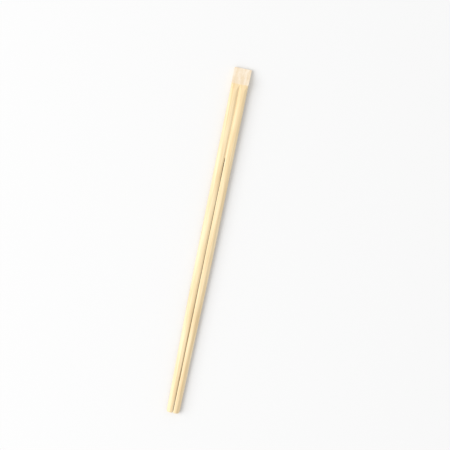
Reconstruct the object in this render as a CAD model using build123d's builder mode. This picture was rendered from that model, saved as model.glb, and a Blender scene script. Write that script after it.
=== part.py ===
from build123d import *
import os

# A joined pair of bamboo chopsticks, milled from one flat slat and not yet snapped apart.
# The frame: +X runs from the head to the tips, +Z is up, and the origin is at the middle
# of the length and width, on the surface that the pair lies on. All sizes are in millimetres.

# The slat, which keeps its full section at the head
length = 230.0
slat_width = 11.5
slat_thickness = 5.0

# How far the milling brings in each flank, and the faces, along the shaft
neck_from_head = 30.0
neck_cut = 0.15
waist_from_head = 130.0
waist_cut = 0.35
tip_cut = 1.5
tip_thinning = 0.8

# The hairline saw kerf that parts the sticks; between it and the head they are one piece
kerf_width = 0.25
kerf_from_head = 60.0

# The slanting cut across the top of the head
facet_length = 11.0
head_end_thickness = 2.0

# Upper cutter: a groove between the sticks and a bevel down each outer edge
top_groove_depth = 0.95
top_groove_reach = 1.2
top_bevel_width = 1.6
top_bevel_drop = 1.3
top_cutter_radius = 14.0
top_cutter_past_facet = 5.5

# Lower cutter: the same, shallower, with a longer run-out; it stands a little clear of the
# slat, so that part of the slat's own planed face is left on each stick as the seat
base_groove_depth = 0.8
base_groove_reach = 1.1
base_bevel_width = 1.5
base_bevel_drop = 1.2
base_clearance = 0.08
base_cutter_radius = 50.0
base_cutter_from_head = 20.0

# Both cutters leave each stick's face crowned
crown_radius = 6.0

# The section at the tips: the groove narrows to a share of its size at the head, and the
# bevels widen at their own slope until this share of each stick's face is left crowned
tip_groove_share = 0.75
tip_crown_share = 0.4

# Rounding of the milled section, the tips and the head
section_round = 0.9
tip_corner_length = 1.6
tip_corner_width = 1.0
tip_round = 0.25
head_corner_round = 0.5

# How far cuts run past the slat, how far the two cutters overlap on the flank, and the
# angle that the cutters are swept through where they lift out
margin = 3.0
overlap = 0.4
cutter_sweep = 80.0

head_x = -length / 2
tip_x = length / 2
neck_x = head_x + neck_from_head
waist_x = head_x + waist_from_head
facet_x = head_x + facet_length


def bevel_size(side, taper, stick_face):
    """Return a bevel's width and drop, taper being 0 at the neck and 1 at the tips."""
    head_width = top_bevel_width if side > 0 else base_bevel_width
    head_drop = top_bevel_drop if side > 0 else base_bevel_drop
    tip_width = (1 - tip_crown_share) * stick_face
    width = head_width + (tip_width - head_width) * taper
    return width, width * head_drop / head_width


def waste_section(side, station_x, flank_cut):
    """Return what one form cutter removes at a station, as a face across the slat.

    side is 1 for the upper cutter and -1 for the lower one. The upper face falls, the
    groove narrows and the bevels widen in proportion to how far past the neck it is.
    """
    upper = side > 0
    taper = max(station_x - neck_x, 0) / (tip_x - neck_x)
    groove_form = 1 + (tip_groove_share - 1) * taper
    top_z = slat_thickness - tip_thinning * taper
    face_z = top_z if upper else -base_clearance
    flank_y = slat_width / 2 - flank_cut
    top_reach = groove_form * top_groove_reach
    base_reach = groove_form * base_groove_reach
    top_bevel = bevel_size(1, taper, flank_y - top_reach)
    base_bevel = bevel_size(-1, taper, flank_y - base_reach)
    reach = top_reach if upper else base_reach
    depth = groove_form * (top_groove_depth if upper else base_groove_depth)
    bevel_width, bevel_drop = top_bevel if upper else base_bevel
    outer_y = slat_width / 2 + margin
    shoulder_y = flank_y - bevel_width
    crown_rise = crown_radius - (crown_radius**2 - ((shoulder_y - reach) / 2) ** 2) ** 0.5
    shoulder_z = face_z - side * crown_rise
    far_z = face_z + side * margin
    # The two cutters meet on the flank, halfway between their bevels
    flank_top_z = top_z - top_bevel[1]
    flank_low_z = base_bevel[1] - base_clearance
    meet_z = (flank_top_z + flank_low_z) / 2 - side * overlap
    with BuildSketch(Plane.YZ.offset(station_x)) as waste:
        with BuildLine():
            Line((0, face_z - side * depth), (reach, shoulder_z))
            ThreePointArc(
                (reach, shoulder_z),
                ((reach + shoulder_y) / 2, face_z),
                (shoulder_y, shoulder_z),
            )
            Polyline(
                (shoulder_y, shoulder_z),
                (flank_y, face_z - side * bevel_drop),
                (flank_y, meet_z),
                (outer_y, meet_z),
                (outer_y, far_z),
                (0, far_z),
            )
            mirror(about=Plane.YZ)
        make_face()
        corners = vertices().filter_by(lambda v: 0 < abs(v.X) < outer_y)
        corners = corners.filter_by(lambda v: abs(v.Y - meet_z) > overlap / 2)
        fillet(corners, radius=section_round * groove_form)
    return waste.sketch


def run_sections(side, start_x):
    """Return the cutter's sections from where it is at full depth to the tips."""
    return [
        waste_section(side, start_x, neck_cut),
        waste_section(side, neck_x, neck_cut),
        waste_section(side, waist_x, waist_cut),
        waste_section(side, tip_x, tip_cut),
    ]


# What the cutters remove: a run to the tips, and the cutter's own circle where it lifts out
upper_x = facet_x + top_cutter_past_facet
upper_axis_z = slat_thickness + top_cutter_radius
upper_sections = run_sections(1, upper_x)
with BuildPart() as upper_waste:
    loft(upper_sections, ruled=True)
    revolve(
        upper_sections[0],
        axis=Axis((upper_x, 0, upper_axis_z), (0, 1, 0)),
        revolution_arc=cutter_sweep,
    )

lower_x = head_x + base_cutter_from_head
lower_axis_z = -base_clearance - base_cutter_radius
lower_sections = run_sections(-1, lower_x)
with BuildPart() as lower_waste:
    loft(lower_sections, ruled=True)
    revolve(
        lower_sections[0],
        axis=Axis((lower_x, 0, lower_axis_z), (0, -1, 0)),
        revolution_arc=cutter_sweep,
    )

with BuildPart() as chopstick_pair:
    # The flat slat, its head corners eased
    with BuildSketch(Plane.XY):
        Rectangle(length, slat_width)
    extrude(amount=slat_thickness)
    fillet(edges().filter_by(Axis.Z).group_by(Axis.X)[0], radius=head_corner_round)

    # Both faces milled to two rounded sticks side by side
    add(upper_waste.part, mode=Mode.SUBTRACT)
    add(lower_waste.part, mode=Mode.SUBTRACT)

    # The slanting facet across the top of the head
    with BuildSketch(Plane.XZ):
        with BuildLine():
            Polyline(
                (head_x, head_end_thickness),
                (facet_x, slat_thickness),
                (facet_x, slat_thickness + margin),
                (head_x - margin, slat_thickness + margin),
                (head_x - margin, head_end_thickness),
                close=True,
            )
        make_face()
    extrude(amount=slat_width / 2 + margin, both=True, mode=Mode.SUBTRACT)

    # The kerf, sawn through from the tips and stopped at the joined head
    kerf_length = length - kerf_from_head
    with BuildSketch(Plane.XY):
        with Locations((tip_x - kerf_length, 0)):
            Rectangle(kerf_length + margin, kerf_width, align=(Align.MIN, Align.CENTER))
    extrude(amount=slat_thickness, mode=Mode.SUBTRACT)

    # The tips: outer corners taken off, then every end edge eased
    tip_y = slat_width / 2 - tip_cut
    with BuildSketch(Plane.XY):
        with BuildLine():
            Polyline(
                (tip_x - 2 * tip_corner_length, tip_y + tip_corner_width),
                (tip_x + tip_corner_length, tip_y - 2 * tip_corner_width),
                (tip_x + tip_corner_length, tip_y + tip_corner_width),
                close=True,
            )
        make_face()
        mirror(about=Plane.XZ)
    extrude(amount=slat_thickness, mode=Mode.SUBTRACT)
    fillet(faces().sort_by(Axis.X)[-2:].edges(), radius=tip_round)

chopstick_pair.part.label = "chopstick_pair"

os.makedirs("parts", exist_ok=True)
export_step(chopstick_pair.part, "parts/chopstick_pair.step")
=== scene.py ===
"""Looks for a joined pair of bamboo chopsticks, worked out around its CAD frame.

The pair is one slat of bamboo, milled on both faces to two crowned sticks, sawn apart from
the tips to a joined head, and finished with a slanting facet across the head. This script
makes that surface again as functions of two parameters, fine enough to carry the fibre
ridges and the rough kerf of the real thing, and gives it unvarnished bamboo. Lengths in the
shape and wood classes are millimetres. The meshes are in metres, in the frame of the CAD.
"""

import logging
import math
from dataclasses import dataclass, field
from enum import Enum

import bpy
import numpy as np
from mathutils import Matrix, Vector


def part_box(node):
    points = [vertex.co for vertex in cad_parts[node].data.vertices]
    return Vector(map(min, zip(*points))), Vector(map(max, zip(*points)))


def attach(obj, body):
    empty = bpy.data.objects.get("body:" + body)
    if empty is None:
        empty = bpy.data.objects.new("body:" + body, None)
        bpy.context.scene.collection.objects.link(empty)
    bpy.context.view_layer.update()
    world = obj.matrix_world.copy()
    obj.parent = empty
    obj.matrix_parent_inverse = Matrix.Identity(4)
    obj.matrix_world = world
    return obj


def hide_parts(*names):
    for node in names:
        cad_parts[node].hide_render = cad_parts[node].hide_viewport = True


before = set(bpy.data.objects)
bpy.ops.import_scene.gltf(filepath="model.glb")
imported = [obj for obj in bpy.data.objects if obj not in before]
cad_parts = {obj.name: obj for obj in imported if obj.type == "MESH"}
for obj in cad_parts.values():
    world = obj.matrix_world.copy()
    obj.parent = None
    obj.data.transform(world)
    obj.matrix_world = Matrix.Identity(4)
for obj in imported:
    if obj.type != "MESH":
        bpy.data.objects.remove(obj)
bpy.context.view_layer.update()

LOG = logging.getLogger("chopsticks")
MM = 0.001
BODY = "root"
NODE = "chopstick_pair"
PIECE = "milled_pair"
CUT_ATTRIBUTE = "fresh_cut"

# Points nearer than a hundred-thousandth of a millimetre are one point
WELD_STEPS_PER_MM = 1e5

# The Mix node has a socket of each name for every data type, so its colours go by number
MIX_FACTOR, MIX_FIRST, MIX_SECOND, MIX_COLOUR = 0, 6, 7, 2

Cell = tuple[float, float, float]
Colour = tuple[float, float, float, float]
Tree = bpy.types.NodeTree
Socket = bpy.types.NodeSocket

WHITE: Colour = (1.0, 1.0, 1.0, 1.0)


class Wood(Enum):
    """Where a surface of the pair comes from, as the value its finish attribute takes."""

    MILLED = 0.0
    FRESH_CUT = 1.0


class Blend(Enum):
    """How two colours are laid over each other."""

    COVER = "MIX"
    TINT = "MULTIPLY"


# ---------------------------------------------------------------------------------------
# Small tools
# ---------------------------------------------------------------------------------------


def linear(hex_colour: str) -> Colour:
    """Turn an sRGB hex colour into linear light.

    Each channel c is c / 12.92 up to 0.04045, and ((c + 0.055) / 1.055) ** 2.4 above it.

    Args:
        hex_colour: six hex digits, with or without a leading hash.

    Returns:
        Red, green and blue in linear light, and an alpha of one.
    """
    digits = hex_colour.lstrip("#")
    channels = [int(digits[i : i + 2], 16) / 255 for i in (0, 2, 4)]
    red, green, blue = [
        c / 12.92 if c <= 0.04045 else ((c + 0.055) / 1.055) ** 2.4 for c in channels
    ]
    return red, green, blue, 1.0


def add_node(
    tree: Tree,
    kind: str,
    settings: dict | None = None,
    inputs: dict | None = None,
) -> bpy.types.Node:
    """Add one shader node with its settings, constants and links.

    Args:
        tree: the node tree that the node joins.
        kind: the node's type name.
        settings: attributes of the node itself, by name.
        inputs: a constant or an output socket for each input, by name or number.

    Returns:
        The new node.
    """
    node = tree.nodes.new(kind)
    for name, value in (settings or {}).items():
        setattr(node, name, value)
    for name, value in (inputs or {}).items():
        if isinstance(value, Socket):
            tree.links.new(value, node.inputs[name])
        else:
            node.inputs[name].default_value = value
    return node


def smooth_step(t: np.ndarray) -> np.ndarray:
    """Return 3t^2 - 2t^3, which goes from zero to one and is level at both ends."""
    return t * t * (3 - 2 * t)


def rounded_max(a: np.ndarray, b: np.ndarray, width: np.ndarray) -> np.ndarray:
    """Return the larger of two surfaces, with the corner between them rounded over.

    The larger one, plus width / 4 times the square of (1 - |a - b| / width) where the two
    lie within width of each other: a parabola that leaves both sides at a tangent.

    Args:
        a: first surface.
        b: second surface.
        width: difference between the two at which the rounding starts.

    Returns:
        The rounded upper envelope.
    """
    near = np.clip(1 - np.abs(a - b) / width, 0, 1)
    return np.maximum(a, b) + width / 4 * near**2


def quarter_round(distance: np.ndarray, radius: float) -> np.ndarray:
    """Return how far a rounded edge falls back at a distance from it.

    One minus the root of 1 - (1 - distance / radius) squared: a quarter of a circle that
    falls back by one at the edge itself, and by nothing from radius inwards.

    Args:
        distance: distance from the edge.
        radius: length of the rounding.

    Returns:
        The share of the rounding's depth, from one at the edge to zero.
    """
    inward = np.clip(distance / radius, 0, 1)
    return 1 - np.sqrt(1 - (1 - inward) ** 2)


def stretch(first: np.ndarray, runs: list[tuple[float, float]]) -> np.ndarray:
    """Carry stations on through runs, each to its end in even steps.

    A run's step is its length divided by the least whole number that makes the step no
    longer than asked.

    Args:
        first: the stations so far.
        runs: the end of each run, and the longest step in it.

    Returns:
        All the stations in order.
    """
    parts = [first]
    for end, step in runs:
        start = parts[-1][-1]
        count = math.ceil((end - start) / step)
        parts.append(np.linspace(start, end, count + 1)[1:])
    return np.concatenate(parts)


@dataclass
class FibreNoise:
    """Smooth random rods that run along the slat, for ridges that follow the fibres.

    Attributes:
        seed: where the random numbers start.
        cells: cells of the lattice on each axis before it repeats.
        table: the value at each lattice point.
    """

    seed: int
    cells: int = 64
    table: np.ndarray = field(init=False)

    def __post_init__(self) -> None:
        """Draw the value at each lattice point."""
        rng = np.random.default_rng(self.seed)
        self.table = rng.random((self.cells,) * 3)

    def value(self, points: np.ndarray, cell: Cell) -> np.ndarray:
        """Return the noise at points.

        The eight lattice values round a point, blended along each axis by the smooth step
        of its place in the cell.

        Args:
            points: n by 3 positions.
            cell: size of a cell along, across and through the slat.

        Returns:
            n values from zero to one.
        """
        place = points / np.array(cell)
        low = np.floor(place).astype(int)
        t = smooth_step(place - low)
        total = np.zeros(len(points))
        for corner in np.ndindex(2, 2, 2):
            index = (low + corner) % self.cells
            weight = np.prod(np.where(corner, t, 1 - t), axis=1)
            total += weight * self.table[index[:, 0], index[:, 1], index[:, 2]]
        return total


@dataclass
class Skin:
    """Surface patches that are welded into one closed mesh.

    Attributes:
        points: the patches' points, in millimetres.
        quads: their faces, by point number.
        finish: the wood attribute of each point.
        count: how many points there are so far.
    """

    points: list[np.ndarray] = field(default_factory=list)
    quads: list[np.ndarray] = field(default_factory=list)
    finish: list[np.ndarray] = field(default_factory=list)
    count: int = 0

    def add(self, grid: np.ndarray, wood: np.ndarray | float, flip: bool = False) -> None:
        """Add a grid of points as a patch of quads.

        Args:
            grid: rows by columns by 3 positions.
            wood: the finish attribute, one value, one for each row or one for each point.
            flip: whether the faces turn the other way.
        """
        rows, columns = grid.shape[:2]
        number = self.count + np.arange(rows * columns).reshape(rows, columns)
        quad = np.stack(
            [number[:-1, :-1], number[1:, :-1], number[1:, 1:], number[:-1, 1:]], axis=-1
        ).reshape(-1, 4)
        self.points.append(grid.reshape(-1, 3))
        self.quads.append(quad[:, ::-1] if flip else quad)
        self.finish.append(np.broadcast_to(wood, (rows, columns)).reshape(-1))
        self.count += rows * columns

    def weld(self) -> tuple[np.ndarray, np.ndarray, np.ndarray]:
        """Join the points that patches share.

        Returns:
            The points, the quads and the finish of each point.
        """
        points = np.concatenate(self.points)
        finish = np.concatenate(self.finish)
        quads = np.concatenate(self.quads)
        keys = np.round(points * WELD_STEPS_PER_MM).astype(np.int64)
        _, first, where = np.unique(keys, axis=0, return_index=True, return_inverse=True)
        return points[first], where.reshape(-1)[quads], finish[first]


def point_normals(points: np.ndarray, quads: np.ndarray) -> np.ndarray:
    """Return the outward direction at each point.

    The cross product of each quad's diagonals, added up at its corners and made unit long.

    Args:
        points: n by 3 positions.
        quads: m by 4 point numbers.

    Returns:
        n by 3 unit vectors.
    """
    corner = points[quads]
    face = np.cross(corner[:, 2] - corner[:, 0], corner[:, 3] - corner[:, 1])
    total = np.zeros_like(points)
    for k in range(4):
        np.add.at(total, quads[:, k], face)
    size = np.linalg.norm(total, axis=1, keepdims=True)
    return total / np.maximum(size, 1e-12)


# ---------------------------------------------------------------------------------------
# Shape
# ---------------------------------------------------------------------------------------


@dataclass(frozen=True)
class FormCutter:
    """One form cutter: a groove at the middle, a crowned face and a bevel at the edge.

    Attributes:
        groove_reach: how far the groove's shoulder is from the middle.
        groove_depth: how deep the groove is.
        bevel_width: how wide the outer bevel is.
        bevel_drop: how far the bevel falls to the flank.
        radius: the cutter's radius at its crowned face.
        full_from_head: where it is at full depth, from the head end.
        clearance: how far its face stands off the slat.
    """

    groove_reach: float
    groove_depth: float
    bevel_width: float
    bevel_drop: float
    radius: float
    full_from_head: float
    clearance: float


@dataclass(frozen=True)
class FibreRelief:
    """How the milled wood stands up between its fibres.

    Attributes:
        ridge_height: depth of the hollows between the fibre ridges.
        ridge_cell: size of a ridge along, across and through the slat.
        torn_depth: depth of a torn fibre.
        torn_cell: size of a torn fibre along, across and through the slat.
        torn_from: level of the noise past which a fibre is torn.
        torn_run: how much further the noise goes until the tear is at full depth.
        seat_height: height below which the relief fades, so that the seat stays flat.
        seed: where the random numbers start.
    """

    ridge_height: float = 0.045
    ridge_cell: Cell = (26.0, 0.55, 0.55)
    torn_depth: float = 0.09
    torn_cell: Cell = (9.0, 0.7, 0.7)
    torn_from: float = 0.74
    torn_run: float = 0.2
    seat_height: float = 0.3
    seed: int = 11

    def sink(self, points: np.ndarray, quads: np.ndarray) -> np.ndarray:
        """Sink the surface between the fibres.

        Each point moves inwards along its normal by the ridges, which are smooth random
        rods along the slat, and by torn fibres, where a second noise passes a high level.
        The seat stays where it is.

        Args:
            points: n by 3 positions.
            quads: m by 4 point numbers.

        Returns:
            The moved points.
        """
        inward = -point_normals(points, quads)
        ridges = FibreNoise(self.seed).value(points, self.ridge_cell)
        torn = FibreNoise(self.seed + 2).value(points, self.torn_cell)
        torn = np.clip((torn - self.torn_from) / self.torn_run, 0, 1)
        depth = self.ridge_height * ridges + self.torn_depth * torn
        held = np.clip(points[:, 2] / self.seat_height, 0, 1)
        return points + inward * (depth * held)[:, None]


@dataclass(frozen=True)
class Kerf:
    """The hairline saw cut that parts the two sticks.

    Attributes:
        width: the saw's own width.
        from_head: where the cut stops, from the head end.
        roughness: most that the cut's walls stand back from the saw.
        rough_length: length of a rough place.
        start_run: length over which the roughness and the splay begin.
        splay: how much wider each side is where the saw stopped.
        splay_length: how far the splay reaches towards the tips.
        mouth: how far each side is eased at the tips.
        mouth_length: length of that easing.
        seed: where the random numbers start.
    """

    width: float = 0.25
    from_head: float = 60.0
    roughness: float = 0.025
    rough_length: float = 2.4
    start_run: float = 2.0
    splay: float = 0.085
    splay_length: float = 17.0
    mouth: float = 0.3
    mouth_length: float = 0.5
    seed: int = 12

    def half_width(self, s: np.ndarray, length: float) -> np.ndarray:
        """Return half the kerf's width.

        The saw's own, plus a rough share, plus a splay where the saw stopped, which falls
        away as one less the square of the distance from the kerf's end, plus a quarter
        round at the tips.

        Args:
            s: distance from the head end.
            length: the pair's length.

        Returns:
            Half the width at each distance, and the saw's own before the kerf starts.
        """
        points = np.stack([s, np.zeros_like(s), np.zeros_like(s)], axis=-1)
        rough = FibreNoise(self.seed).value(points, (self.rough_length, 1.0, 1.0))
        started = np.clip((s - self.from_head) / self.start_run, 0, 1)
        past = np.clip((s - self.from_head) / self.splay_length, 0, 1)
        splay = self.splay * started * (1 - past**2)
        at_tip = self.mouth * quarter_round(length - s, self.mouth_length)
        return self.width / 2 + self.roughness * rough * started + splay + at_tip


@dataclass(frozen=True)
class MeshSteps:
    """How finely the surface is divided.

    Attributes:
        across: quads from the kerf to the flank, on each face of a stick.
        crowding: share by which those are crowded towards both edges.
        through: quads up a flank, a wall or an end.
        web: quads across the web between the sticks.
        corner_stations: stations round the head's corners.
        facet: longest step along the facet.
        line: longest step at the facet's line.
        line_run: length of those steps before the line.
        lift: longest step where the cutters lift out.
        lift_margin: how far those steps go on past the place.
        shaft: longest step along the rest.
        tip_run: length that is divided more and more finely towards the tips.
        tip_stations: stations in it.
    """

    across: int = 42
    crowding: float = 0.4
    through: int = 8
    web: int = 2
    corner_stations: int = 8
    facet: float = 0.5
    line: float = 0.2
    line_run: float = 2.0
    lift: float = 0.25
    lift_margin: float = 4.0
    shaft: float = 1.1
    tip_run: float = 2.4
    tip_stations: int = 22


@dataclass
class ChopstickPair:
    """Two sticks milled from one slat, joined at the head.

    A place on the pair is s, the distance from the head end, and y, the distance from the
    middle line, for both sticks are alike.

    Attributes:
        length: the slat's length.
        slat_width: its width.
        slat_thickness: its thickness.
        neck_from_head: where the taper starts, from the head end.
        neck_cut: what the milling takes off each flank up to there.
        waist_from_head: where the taper grows steeper, from the head end.
        waist_cut: what is off each flank there.
        tip_cut: what is off each flank at the tips.
        tip_thinning: how much lower the upper face is at the tips.
        tip_groove_share: the groove's size at the tips, as a share of that at the head.
        tip_crown_share: share of each stick's face that is left crowned at the tips.
        crown_radius: radius of the crowned faces.
        section_round: radius that the milled corners are rounded to.
        lift_from_head: where the flank cut starts to lift out, from the head end.
        lift_run: length over which it lifts out.
        facet_length: length of the slanting facet.
        head_end_thickness: thickness that the facet leaves at the head end.
        head_corner_round: radius of the head's upright corners.
        facet_line_width: length over which fresh wood gives way to milled.
        edge_round: radius of the slat's own edges.
        tip_corner_length: length of the rounding of the tips' outer corners.
        tip_corner_width: width of it.
        tip_edge_length: length of the easing of the tips' upper and lower edges.
        tip_edge_depth: depth of it on the upper edge, and half that on the lower.
        smooth_angle: sharpest crease that is shaded smooth, in degrees.
        upper: the cutter that milled the upper face.
        lower: the cutter that milled the under face.
        kerf: the cut between the sticks.
        relief: the fibre ridges.
        steps: how finely it is all divided.
    """

    length: float
    slat_width: float
    slat_thickness: float
    neck_from_head: float = 30.0
    neck_cut: float = 0.15
    waist_from_head: float = 130.0
    waist_cut: float = 0.35
    tip_cut: float = 1.5
    tip_thinning: float = 0.8
    tip_groove_share: float = 0.75
    tip_crown_share: float = 0.4
    crown_radius: float = 6.0
    section_round: float = 0.9
    lift_from_head: float = 5.0
    lift_run: float = 8.0
    facet_length: float = 11.0
    head_end_thickness: float = 2.0
    head_corner_round: float = 0.5
    facet_line_width: float = 0.4
    edge_round: float = 0.14
    tip_corner_length: float = 2.0
    tip_corner_width: float = 1.1
    tip_edge_length: float = 0.7
    tip_edge_depth: float = 0.45
    smooth_angle: float = 40.0
    upper: FormCutter = FormCutter(
        groove_reach=1.2,
        groove_depth=0.95,
        bevel_width=1.6,
        bevel_drop=1.3,
        radius=14.0,
        full_from_head=16.5,
        clearance=0.0,
    )
    lower: FormCutter = FormCutter(
        groove_reach=1.1,
        groove_depth=0.8,
        bevel_width=1.5,
        bevel_drop=1.2,
        radius=50.0,
        full_from_head=20.0,
        clearance=0.08,
    )
    kerf: Kerf = Kerf()
    relief: FibreRelief = FibreRelief()
    steps: MeshSteps = MeshSteps()

    def taper(self, s: np.ndarray) -> np.ndarray:
        """Return how far along the tapering run s is: zero to the neck, one at the tips."""
        run = self.length - self.neck_from_head
        return np.clip((s - self.neck_from_head) / run, 0, 1)

    def milled_half_width(self, s: np.ndarray) -> np.ndarray:
        """Return half the width that the cutters leave, in straight runs between stations.

        Args:
            s: distance from the head end.

        Returns:
            Half the slat's width, less the cut at each distance.
        """
        stations = [self.neck_from_head, self.waist_from_head, self.length]
        cut = np.interp(s, stations, [self.neck_cut, self.waist_cut, self.tip_cut])
        return self.slat_width / 2 - cut

    def half_width(self, s: np.ndarray) -> np.ndarray:
        """Return half the pair's width.

        The milled width, widened by the flank cut where the cutters have lifted out, less a
        quarter round at the head's corners and a longer one at the tips' outer corners.

        Args:
            s: distance from the head end.

        Returns:
            The flank's distance from the middle line.
        """
        lifted = smooth_step(1 - np.clip((s - self.lift_from_head) / self.lift_run, 0, 1))
        head = self.head_corner_round * quarter_round(s, self.head_corner_round)
        tip = self.tip_corner_width * quarter_round(self.length - s, self.tip_corner_length)
        return self.milled_half_width(s) + self.neck_cut * lifted - head - tip

    def cut_depth(self, s: np.ndarray, y: np.ndarray, cutter: FormCutter) -> np.ndarray:
        """Return how deep a cutter goes below its own face at full depth.

        The deepest of a straight groove wall, a circle for the crowned face and a straight
        bevel, with the corners between them rounded over, and a true arc where the bevel
        turns into the upright flank.

        Args:
            s: distance from the head end.
            y: distance from the middle line.
            cutter: the upper or the lower cutter.

        Returns:
            The depth at each place.
        """
        taper = self.taper(s)
        groove_form = 1 + (self.tip_groove_share - 1) * taper
        reach, depth = cutter.groove_reach * groove_form, cutter.groove_depth * groove_form
        corner = self.section_round * groove_form
        flank = self.milled_half_width(s)
        tip_bevel = (1 - self.tip_crown_share) * (flank - reach)
        bevel_width = cutter.bevel_width + (tip_bevel - cutter.bevel_width) * taper
        bevel_drop = bevel_width * cutter.bevel_drop / cutter.bevel_width
        y = np.minimum(y, flank)

        # The crowned face, from the groove's shoulder to the bevel's
        shoulder = flank - bevel_width
        half_gap = (shoulder - reach) / 2
        crown_root = np.sqrt(self.crown_radius**2 - half_gap**2)
        rise = self.crown_radius - crown_root
        from_ridge = np.clip(y - (reach + shoulder) / 2, -half_gap, half_gap)
        surface = self.crown_radius - np.sqrt(self.crown_radius**2 - from_ridge**2)

        # The groove's wall and the bevel, each blended into the crown
        wall_slope = (depth - rise) / reach
        bevel_slope = (bevel_drop - rise) / bevel_width
        wall = depth - y * wall_slope
        bevel = rise + (y - shoulder) * bevel_slope
        crown_angle = np.arctan2(half_gap, crown_root)
        for side, slope in ((wall, wall_slope), (bevel, bevel_slope)):
            angle = np.arctan(slope)
            tangent = corner * np.tan((angle - crown_angle) / 2)
            blend = np.cos((angle + crown_angle) / 2) * tangent
            width = (slope - np.tan(crown_angle)) * blend
            surface = rounded_max(surface, side, np.maximum(width, 1e-6))

        # The arc from the bevel to the flank
        bevel_angle = np.arctan(bevel_slope)
        tangent = corner * np.tan((math.pi / 2 - bevel_angle) / 2)
        past = np.clip(y - (flank - corner), 0, corner)
        arc = bevel_drop + tangent - np.sqrt(corner**2 - past**2)
        on_arc = y > flank - tangent * np.cos(bevel_angle)
        return np.where(on_arc, arc, surface)

    def milled_depth(self, s: np.ndarray, y: np.ndarray, cutter: FormCutter) -> np.ndarray:
        """Return how deep a cutter has gone below the slat's face.

        Past the place where it lifts out, a point that the cutter reaches to depth d at full
        depth is on a circle of radius R + d about its axis, so at a distance u from there
        the depth is the root of (R + d)^2 - u^2, less R.

        Args:
            s: distance from the head end.
            y: distance from the middle line.
            cutter: the upper or the lower cutter.

        Returns:
            The depth at each place, and zero where the cutter missed the slat.
        """
        lift = np.maximum(cutter.full_from_head - s, 0)
        depth = self.cut_depth(s, y, cutter)
        circle = np.maximum((cutter.radius + depth) ** 2 - lift**2, cutter.radius**2)
        lifted = np.sqrt(circle) - cutter.radius
        return np.maximum(np.where(lift > 0, lifted, depth) - cutter.clearance, 0)

    def edge_fall(self, s: np.ndarray, y: np.ndarray) -> np.ndarray:
        """Return how far the planed faces fall back at their edges.

        A small quarter round at the flank, and the same at the head end.

        Args:
            s: distance from the head end.
            y: distance from the middle line.

        Returns:
            The fall at each place.
        """
        at_flank = quarter_round(self.half_width(s) - y, self.edge_round)
        at_head = quarter_round(s, self.edge_round)
        return self.edge_round * np.maximum(at_flank, at_head)

    def tip_fall(self, s: np.ndarray) -> np.ndarray:
        """Return how far the upper face falls back at the tips, along a quarter round."""
        return self.tip_edge_depth * quarter_round(self.length - s, self.tip_edge_length)

    def top(self, s: np.ndarray, y: np.ndarray) -> np.ndarray:
        """Return the height of the upper surface.

        The lowest of the milled face, which thins in a straight line to the tips, and the
        facet, which rises in a straight line from the head end.

        Args:
            s: distance from the head end.
            y: distance from the middle line.

        Returns:
            The height over the seat.
        """
        thinning = self.tip_thinning * self.taper(s)
        milled = self.slat_thickness - thinning - self.milled_depth(s, y, self.upper)
        rise = self.slat_thickness - self.head_end_thickness
        facet = self.head_end_thickness + rise * s / self.facet_length
        slat = np.minimum(facet, self.slat_thickness) - self.edge_fall(s, y)
        return np.minimum(milled, slat) - self.tip_fall(s)

    def bottom(self, s: np.ndarray, y: np.ndarray) -> np.ndarray:
        """Return the height of the under surface, which is the seat where it is zero.

        The higher of the milled depth and the eased edges, plus half the fall at the tips.

        Args:
            s: distance from the head end.
            y: distance from the middle line.

        Returns:
            The height over the seat.
        """
        milled = self.milled_depth(s, y, self.lower)
        return np.maximum(milled, self.edge_fall(s, y)) + self.tip_fall(s) / 2

    def wood(self, s: np.ndarray) -> np.ndarray:
        """Return the upper face's finish: fresh cut on the facet, milled past its line."""
        past_line = (self.facet_length - s) / self.facet_line_width
        return np.clip(past_line + 0.5, 0, 1)

    def stations(self) -> tuple[np.ndarray, np.ndarray]:
        """Return the stations along the joined head, and those along the parted sticks.

        Each run is evenly divided, finer where the shape changes faster, and both ends are
        divided by the cosine of an even angle, which crowds them towards the end.

        Returns:
            Distances from the head end: those of the head, and those of the shaft.
        """
        steps = self.steps
        ease = 1 - np.cos(np.linspace(0, math.pi / 2, steps.corner_stations))
        head_runs = [
            (self.facet_length - steps.line_run, steps.facet),
            (self.facet_length, steps.line),
            (self.lower.full_from_head + steps.lift_margin, steps.lift),
            (self.kerf.from_head, steps.shaft),
        ]
        head = stretch(self.head_corner_round * ease, head_runs)
        shaft = stretch(head[-1:], [(self.length - steps.tip_run, steps.shaft)])
        crowded = 1 - np.cos(np.linspace(math.pi / 2, 0, steps.tip_stations))
        tip = self.length - steps.tip_run * crowded
        return head, np.concatenate([shaft, tip[1:]])

    def place(self, s: np.ndarray, y: np.ndarray, z: np.ndarray) -> np.ndarray:
        """Return positions from distances along and across and a height."""
        s, y, z = np.broadcast_arrays(s, y, z)
        return np.stack([s - self.length / 2, y, z], axis=-1)

    def upright(
        self, s: np.ndarray | float, y: np.ndarray, low: np.ndarray, high: np.ndarray
    ) -> np.ndarray:
        """Return the points of an upright wall, in even steps from its foot to its top.

        Args:
            s: distance from the head end, one value or one for each column of points.
            y: place across the pair of each column.
            low: height of its foot.
            high: height of its top.

        Returns:
            Columns by steps by 3 positions.
        """
        up = np.linspace(0, 1, self.steps.through + 1)
        s = np.broadcast_to(s, y.shape)[:, None]
        low, high = low[:, None], high[:, None]
        return self.place(s, y[:, None], low + (high - low) * up)

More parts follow.
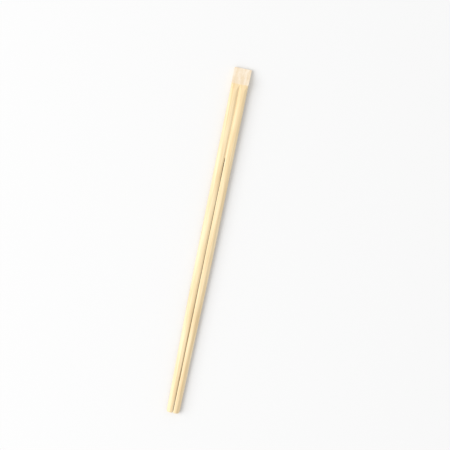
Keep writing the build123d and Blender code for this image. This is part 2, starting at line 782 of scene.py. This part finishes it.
    def add_stick(self, skin: Skin, run: np.ndarray, hand: int, joined: bool) -> None:
        """Add one stick's surface along a run of stations.

        A box of grids bent to the shape: a top, a bottom, a flank and an end, and along the
        kerf an inner wall.

        Args:
            skin: the surface that it joins.
            run: distances from the head end.
            hand: 1 for the stick on the +Y side, -1 for the other.
            joined: whether the run is the joined head, which has no inner wall.
        """
        turned = hand < 0
        even = np.linspace(0, 1, self.steps.across + 1)
        crowded = (1 - np.cos(math.pi * even)) / 2
        share = (1 - self.steps.crowding) * even + self.steps.crowding * crowded
        s = run[:, None]
        inner = self.kerf.half_width(run, self.length)[:, None]
        y = inner + (self.half_width(s) - inner) * share
        top, bottom = self.top(s, y), self.bottom(s, y)
        skin.add(self.place(s, hand * y, top), self.wood(s), flip=turned)
        skin.add(self.place(s, hand * y, bottom), Wood.MILLED.value, flip=not turned)
        walls = [(-1, not turned)] if joined else [(-1, not turned), (0, turned)]
        for column, flip in walls:
            low, high = bottom[:, column], top[:, column]
            wall = self.upright(run, hand * y[:, column], low, high)
            skin.add(wall, Wood.MILLED.value, flip=flip)
        row, flip = (0, not turned) if joined else (-1, turned)
        end = self.upright(run[row], hand * y[row], bottom[row], top[row])
        skin.add(end, Wood.FRESH_CUT.value, flip=flip)

    def add_web(self, skin: Skin, run: np.ndarray) -> None:
        """Add the web between the sticks: a top, a bottom, and an end at each of its ends.

        Args:
            skin: the surface that it joins.
            run: distances from the head end, along the joined head.
        """
        s = run[:, None]
        share = np.linspace(-1, 1, self.steps.web + 1)
        y = self.kerf.half_width(run, self.length)[:, None] * share
        top, bottom = self.top(s, np.abs(y)), self.bottom(s, np.abs(y))
        skin.add(self.place(s, y, top), self.wood(s))
        skin.add(self.place(s, y, bottom), Wood.MILLED.value, flip=True)
        for row, flip in ((0, True), (-1, False)):
            end = self.upright(run[row], y[row], bottom[row], top[row])
            skin.add(end, Wood.FRESH_CUT.value, flip=flip)

    def build_skin(self) -> tuple[np.ndarray, np.ndarray, np.ndarray]:
        """Work out the whole surface, welded and closed.

        Returns:
            The points in millimetres, the quads and the finish of each point.
        """
        head, shaft = self.stations()
        skin = Skin()
        for hand in (1, -1):
            self.add_stick(skin, head, hand, joined=True)
            self.add_stick(skin, shaft, hand, joined=False)
        self.add_web(skin, head)
        return skin.weld()

    def build(self) -> bpy.types.Object:
        """Make the mesh object.

        Returns:
            The pair, at the origin, with its place in its mesh.
        """
        points, quads, finish = self.build_skin()
        points = self.relief.sink(points, quads) * MM
        mesh = bpy.data.meshes.new(PIECE)
        mesh.vertices.add(len(points))
        mesh.vertices.foreach_set("co", points.astype(np.float32).ravel())
        mesh.loops.add(quads.size)
        mesh.loops.foreach_set("vertex_index", quads.astype(np.int32).ravel())
        mesh.polygons.add(len(quads))
        mesh.polygons.foreach_set("loop_start", np.arange(0, quads.size, 4, dtype=np.int32))
        mesh.update(calc_edges=True)
        mesh.validate()
        attribute = mesh.attributes.new(CUT_ATTRIBUTE, "FLOAT", "POINT")
        attribute.data.foreach_set("value", finish.astype(np.float32))
        mesh.shade_smooth()
        mesh.set_sharp_from_angle(angle=math.radians(self.smooth_angle))
        piece = bpy.data.objects.new(PIECE, mesh)
        bpy.context.scene.collection.objects.link(piece)
        return piece

    def dress(self, piece: bpy.types.Object, material: bpy.types.Material) -> None:
        """Give the piece its wood, and its place in the frame.

        Args:
            piece: the pair's object.
            material: its bamboo.
        """
        piece.data.materials.append(material)
        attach(piece, BODY)
        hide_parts(NODE)


# ---------------------------------------------------------------------------------------
# Finishes
# ---------------------------------------------------------------------------------------


@dataclass(frozen=True)
class MilledBamboo:
    """Unvarnished bamboo, milled and tumbled smooth.

    What it gives the eye: a matt straw yellow, drawn out along the slat in fine lines, which
    are the fibre bundles; they show as dots on the end grain. The wood is yellower towards
    the culm's skin, which is the upper face, and paler towards its hollow. Fresh cuts are
    paler still, and their bundles show less. The bundles are as far apart as real ones. A
    single fibre is about 0.015 mm wide, too fine to show, so the fibres are drawn in strands
    of several.

    Attributes:
        skin_side: the wood near the culm's skin.
        hollow_side: the wood near its hollow.
        fresh: the wood of a fresh cut.
        bundle: the fibre bundles.
        drift_tint: what the slow drift of tone multiplies the colour by, at its darkest.
        fibre_tint: what the fibre strands multiply it by, at their darkest.
        drift_range: levels of the drift between which the tint fades.
        fibre_range: levels of the strands between which theirs fades.
        bundle_on_milled: how strongly bundles show on a milled face.
        bundle_on_cut: how strongly they show on a fresh cut.
        bundle_pitch: distance from bundle to bundle.
        bundle_length: distance along the slat after which they change places.
        bundle_share: a bundle's radius, as a share of the pitch.
        bundle_core: the full-toned part of that radius, as a share of it.
        bundle_scatter: how far bundles leave an even lattice, from zero to one.
        bundle_dip: how far a bundle sinks, as a share of a strand's height.
        wander_length: distance along the slat over which bundles wander to and fro.
        wander_width: distance across it over which they wander alike.
        wander_reach: how far they wander.
        wander_detail: octaves of finer wander.
        fibre_width: width of a strand.
        fibre_length: length of a strand.
        fibre_detail: octaves of finer strands.
        drift_width: width of a place of one tone.
        drift_length: length of it.
        drift_detail: octaves of finer drift.
        octave_share: strength of each octave, as a share of the one before.
        bump_depth: height of a strand.
        bump_strength: how much of that height the shading takes.
        rough_hollow: roughness in the hollows between strands.
        rough_ridge: roughness on the strands, where tumbling has burnished them.
        ior: refractive index, near that of cellulose.
        thickness: the slat's thickness, over which the colour goes from side to side.
    """

    skin_side: str = "#EFDDB8"
    hollow_side: str = "#EEE0C6"
    fresh: str = "#F1E6D6"
    bundle: str = "#DDBC82"
    drift_tint: str = "#F4ECDE"
    fibre_tint: str = "#F5EFE4"
    drift_range: tuple[float, float] = (0.35, 0.65)
    fibre_range: tuple[float, float] = (0.3, 0.7)
    bundle_on_milled: float = 0.42
    bundle_on_cut: float = 0.2
    bundle_pitch: float = 0.62
    bundle_length: float = 90.0
    bundle_share: float = 0.42
    bundle_core: float = 0.35
    bundle_scatter: float = 0.85
    bundle_dip: float = 0.6
    wander_length: float = 55.0
    wander_width: float = 4.0
    wander_reach: float = 1.6
    wander_detail: float = 1.0
    fibre_width: float = 0.11
    fibre_length: float = 9.0
    fibre_detail: float = 3.0
    drift_width: float = 2.2
    drift_length: float = 38.0
    drift_detail: float = 2.0
    octave_share: float = 0.55
    bump_depth: float = 0.04
    bump_strength: float = 0.5
    rough_hollow: float = 0.54
    rough_ridge: float = 0.4
    ior: float = 1.53
    thickness: float = 5.0

    def build(self) -> bpy.types.Material:
        """Make the material.

        Returns:
            The material, which reads Object coordinates and the fresh cut attribute.
        """
        material = bpy.data.materials.new("milled_bamboo")
        material.use_nodes = True
        tree = material.node_tree
        tree.nodes.clear()
        place = add_node(tree, "ShaderNodeTexCoord").outputs["Object"]
        bundles = self.bundles(tree, place)
        fibres = self.streaks(
            tree, place, self.fibre_length, self.fibre_width, self.fibre_detail
        )
        drift = self.streaks(
            tree, place, self.drift_length, self.drift_width, self.drift_detail
        )
        rough = self.scaled(tree, fibres, self.rough_hollow, self.rough_ridge)
        shader = add_node(
            tree,
            "ShaderNodeBsdfPrincipled",
            inputs={
                "Base Color": self.colour(tree, place, bundles, fibres, drift),
                "Roughness": rough,
                "IOR": self.ior,
                "Normal": self.relief(tree, bundles, fibres),
            },
        )
        add_node(
            tree, "ShaderNodeOutputMaterial", inputs={"Surface": shader.outputs["BSDF"]}
        )
        return material

    def stretched(self, tree: Tree, place: Socket, length: float, width: float) -> Socket:
        """Add coordinates that run one unit in a length along the slat and a width across.

        Args:
            tree: the material's tree.
            place: Object coordinates.
            length: length of a unit along the slat.
            width: length of a unit across and through it.

        Returns:
            The stretched coordinates.
        """
        scale = (1 / (length * MM), 1 / (width * MM), 1 / (width * MM))
        return add_node(
            tree, "ShaderNodeMapping", inputs={"Vector": place, "Scale": scale}
        ).outputs[0]

    def streaks(
        self, tree: Tree, place: Socket, length: float, width: float, detail: float
    ) -> Socket:
        """Add noise drawn out along the slat.

        Args:
            tree: the material's tree.
            place: Object coordinates.
            length: length of a streak.
            width: width of a streak.
            detail: octaves of finer noise on it.

        Returns:
            The noise, from zero to one.
        """
        noise = add_node(
            tree,
            "ShaderNodeTexNoise",
            inputs={
                "Vector": self.stretched(tree, place, length, width),
                "Scale": 1.0,
                "Detail": detail,
                "Roughness": self.octave_share,
            },
        )
        return noise.outputs["Fac"]

    def bundles(self, tree: Tree, place: Socket) -> Socket:
        """Add the fibre bundles: rods on a scattered lattice across the slat.

        They wander sideways a little along the slat, so that a milled face crosses some of
        them and their lines start and end.

        Args:
            tree: the material's tree.
            place: Object coordinates.

        Returns:
            One at a bundle's middle, falling to zero at its edge.
        """
        wander = add_node(
            tree,
            "ShaderNodeTexNoise",
            inputs={
                "Vector": self.stretched(tree, place, self.wander_length, self.wander_width),
                "Scale": 1.0,
                "Detail": self.wander_detail,
            },
        )
        centred = add_node(
            tree,
            "ShaderNodeVectorMath",
            {"operation": "SUBTRACT"},
            {0: wander.outputs["Color"], 1: (0.5, 0.5, 0.5)},
        )
        reach = self.wander_reach * MM
        moved = add_node(
            tree,
            "ShaderNodeVectorMath",
            {"operation": "MULTIPLY_ADD"},
            {0: centred.outputs[0], 1: (0, reach, reach), 2: place},
        )
        section = self.stretched(
            tree, moved.outputs[0], self.bundle_length, self.bundle_pitch
        )
        cells = add_node(
            tree,
            "ShaderNodeTexVoronoi",
            {"feature": "F1"},
            {"Vector": section, "Scale": 1.0, "Randomness": self.bundle_scatter},
        )
        core = add_node(
            tree,
            "ShaderNodeMapRange",
            {"interpolation_type": "SMOOTHSTEP"},
            {
                "Value": cells.outputs["Distance"],
                "From Min": self.bundle_share,
                "From Max": self.bundle_share * self.bundle_core,
            },
        )
        return core.outputs[0]

    def relief(self, tree: Tree, bundles: Socket, fibres: Socket) -> Socket:
        """Add the fine relief: strands stand up, and bundles sink between them.

        Args:
            tree: the material's tree.
            bundles: where the fibre bundles are.
            fibres: the strands' noise.

        Returns:
            The bumped normal.
        """
        height = add_node(
            tree,
            "ShaderNodeMath",
            {"operation": "MULTIPLY_ADD"},
            {0: bundles, 1: -self.bundle_dip, 2: fibres},
        ).outputs[0]
        return add_node(
            tree,
            "ShaderNodeBump",
            inputs={
                "Strength": self.bump_strength,
                "Distance": self.bump_depth * MM,
                "Height": height,
            },
        ).outputs[0]

    def colour(
        self, tree: Tree, place: Socket, bundles: Socket, fibres: Socket, drift: Socket
    ) -> Socket:
        """Mix the wood's colour.

        The culm's two sides are mixed by height, the fresh cut and then the bundles are
        laid over them, and the drift and the strands tint the whole.

        Args:
            tree: the material's tree.
            place: Object coordinates.
            bundles: where the fibre bundles are.
            fibres: the strands' noise.
            drift: the slow drift's noise.

        Returns:
            The colour.
        """
        height = add_node(tree, "ShaderNodeSeparateXYZ", inputs={"Vector": place}).outputs["Z"]
        depth = self.share_of(tree, height, 0.0, self.thickness * MM)
        cut = add_node(
            tree, "ShaderNodeAttribute", {"attribute_name": CUT_ATTRIBUTE}
        ).outputs["Fac"]
        wood = self.mix(tree, depth, linear(self.hollow_side), linear(self.skin_side))
        wood = self.mix(tree, cut, wood, linear(self.fresh))
        strength = self.scaled(tree, cut, self.bundle_on_milled, self.bundle_on_cut)
        shown = add_node(
            tree, "ShaderNodeMath", {"operation": "MULTIPLY"}, {0: bundles, 1: strength}
        ).outputs[0]
        wood = self.mix(tree, shown, wood, linear(self.bundle))
        drift_share = self.share_of(tree, drift, *self.drift_range)
        drift_tint = self.mix(tree, drift_share, linear(self.drift_tint), WHITE)
        wood = self.mix(tree, 1.0, wood, drift_tint, Blend.TINT)
        fibre_share = self.share_of(tree, fibres, *self.fibre_range)
        fibre_tint = self.mix(tree, fibre_share, linear(self.fibre_tint), WHITE)
        return self.mix(tree, 1.0, wood, fibre_tint, Blend.TINT)

    def scaled(self, tree: Tree, value: Socket, low: float, high: float) -> Socket:
        """Stretch a value that goes from zero to one, so that it goes from low to high."""
        inputs = {"Value": value, "To Min": low, "To Max": high}
        return add_node(tree, "ShaderNodeMapRange", inputs=inputs).outputs[0]

    def share_of(self, tree: Tree, value: Socket, low: float, high: float) -> Socket:
        """Return how far a value is from low to high, held between zero and one."""
        inputs = {"Value": value, "From Min": low, "From Max": high}
        return add_node(tree, "ShaderNodeMapRange", inputs=inputs).outputs[0]

    def mix(
        self,
        tree: Tree,
        share: Socket | float,
        first: Socket | Colour,
        second: Socket | Colour,
        blend: Blend = Blend.COVER,
    ) -> Socket:
        """Lay the second colour over the first.

        Args:
            tree: the material's tree.
            share: how much of the second colour shows.
            first: the colour underneath.
            second: the colour on top.
            blend: whether it covers the first or tints it.

        Returns:
            The mixed colour.
        """
        node = add_node(
            tree,
            "ShaderNodeMix",
            {"data_type": "RGBA", "blend_type": blend.value},
            {MIX_FACTOR: share, MIX_FIRST: first, MIX_SECOND: second},
        )
        return node.outputs[MIX_COLOUR]


@dataclass(frozen=True)
class PaperSweep:
    """Matt white paper, rolled out flat: a plain pale ground with no grain to show.

    Attributes:
        colour: the paper.
        roughness: close to fully matt.
        ior: refractive index of paper's fibres.
        specular: how much of the plain reflection is left, which is none.
    """

    colour: str = "#E2E2E2"
    roughness: float = 0.9
    ior: float = 1.45
    specular: float = 0.0

    def build(self) -> bpy.types.Material:
        """Make the material.

        Returns:
            The material, the same all over.
        """
        material = bpy.data.materials.new("paper_sweep")
        material.use_nodes = True
        tree = material.node_tree
        tree.nodes.clear()
        shader = add_node(
            tree,
            "ShaderNodeBsdfPrincipled",
            inputs={
                "Base Color": linear(self.colour),
                "Roughness": self.roughness,
                "IOR": self.ior,
                "Specular IOR Level": self.specular,
            },
        )
        add_node(
            tree, "ShaderNodeOutputMaterial", inputs={"Surface": shader.outputs["BSDF"]}
        )
        return material


# ---------------------------------------------------------------------------------------
# Studio
# ---------------------------------------------------------------------------------------


@dataclass
class Studio:
    """A white table seen from straight above, with one large soft light.

    Lengths are in metres and angles in degrees. The picture's own axes lie on the table:
    right, and up.

    Attributes:
        lens: focal length, in millimetres.
        sensor: width of the sensor, in millimetres.
        field_width: width of what the camera sees, at the top of the pair.
        lean: how far the pair leans from the picture's upright.
        aim_right: how far right of the origin the camera aims.
        aim_up: how far up from the origin it aims.
        light_elevation: height of the light over the table.
        light_bearing: its direction, anticlockwise from the picture's right.
        light_distance: its distance from the origin.
        light_size: its width and height.
        light_power: its power, in watts.
        ambient: strength of the room's even light.
        table_size: width and length of the table.
        table_gap: how far the table is below the seat, so that the two faces don't meet.
    """

    lens: float = 85.0
    sensor: float = 36.0
    field_width: float = 0.2934
    lean: float = 11.6
    aim_right: float = 0.0111
    aim_up: float = 0.0101
    light_elevation: float = 42.0
    light_bearing: float = 183.0
    light_distance: float = 4.0
    light_size: float = 3.4
    light_power: float = 126.0
    ambient: float = 0.84
    table_size: float = 6.0
    table_gap: float = 0.02 * MM

    def axes(self) -> tuple[np.ndarray, np.ndarray]:
        """Return the picture's right and up on the table.

        The pair's tips point down the picture and lean to the left, so +X is minus the sine
        of the lean along right, and minus its cosine along up.

        Returns:
            Two unit vectors.
        """
        lean = math.radians(self.lean)
        right = np.array([-math.sin(lean), math.cos(lean), 0.0])
        up = np.array([-math.cos(lean), -math.sin(lean), 0.0])
        return right, up

    def build_table(self) -> bpy.types.Object:
        """Make the table top, just under the seat.

        Returns:
            The table, marked as the stage.
        """
        half = self.table_size / 2
        corners = [(-half, -half), (half, -half), (half, half), (-half, half)]
        mesh = bpy.data.meshes.new("table_top")
        mesh.from_pydata([(x, y, -self.table_gap) for x, y in corners], [], [(0, 1, 2, 3)])
        mesh.materials.append(PaperSweep().build())
        table = bpy.data.objects.new("table_top", mesh)
        bpy.context.scene.collection.objects.link(table)
        return table

    def build_camera(self, height: float) -> None:
        """Place the camera over the table, looking straight down.

        Its distance is the field's width times the focal length over the sensor's width.

        Args:
            height: height of the plane that the field's width is measured on.
        """
        right, up = self.axes()
        data = bpy.data.cameras.new("camera")
        data.lens = self.lens
        data.sensor_width = self.sensor
        camera = bpy.data.objects.new("camera", data)
        distance = self.field_width * self.lens / self.sensor
        spot = self.aim_right * right + self.aim_up * up
        spot[2] = height + distance
        turn = np.eye(4)
        turn[:3, 0], turn[:3, 1], turn[:3, 3] = right, up, spot
        camera.matrix_world = Matrix(turn.tolist())
        bpy.context.scene.collection.objects.link(camera)
        bpy.context.scene.camera = camera

    def build_light(self) -> None:
        """Hang one large square light to the left of the picture, facing the origin."""
        right, up = self.axes()
        bearing = math.radians(self.light_bearing)
        elevation = math.radians(self.light_elevation)
        level = math.cos(bearing) * right + math.sin(bearing) * up
        towards = math.cos(elevation) * level
        towards[2] = math.sin(elevation)
        data = bpy.data.lights.new("window_light", "AREA")
        data.size = self.light_size
        data.energy = self.light_power
        lamp = bpy.data.objects.new("window_light", data)
        lamp.location = (towards * self.light_distance).tolist()
        lamp.rotation_mode = "QUATERNION"
        lamp.rotation_quaternion = lamp.location.normalized().to_track_quat("Z", "Y")
        lamp.visible_camera = False
        bpy.context.scene.collection.objects.link(lamp)

    def build_ambient(self) -> None:
        """Fill the room with even white light."""
        world = bpy.data.worlds.new("white_room")
        world.use_nodes = True
        background = world.node_tree.nodes["Background"]
        background.inputs["Color"].default_value = WHITE
        background.inputs["Strength"].default_value = self.ambient
        bpy.context.scene.world = world

    def build(self, height: float) -> bpy.types.Object:
        """Set the table, the camera and the lights.

        Args:
            height: height of the top of the pair.

        Returns:
            The table.
        """
        table = self.build_table()
        self.build_camera(height)
        self.build_light()
        self.build_ambient()
        bpy.context.scene.view_settings.view_transform = "Standard"
        return table


def main() -> None:
    """Build the pair and the studio, and report each piece."""
    logging.basicConfig(level=logging.INFO, format="%(name)s: %(message)s")
    low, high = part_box(NODE)
    length, width, thickness = ((high - low) / MM)[:]
    pair = ChopstickPair(length, width, thickness)
    piece = pair.build()
    pair.dress(piece, MilledBamboo(thickness=thickness).build())
    LOG.info("%s: %d faces", piece.name, len(piece.data.polygons))
    table = Studio().build(high.z)
    LOG.info("%s: %d face", table.name, len(table.data.polygons))


if __name__ == "__main__":
    main()
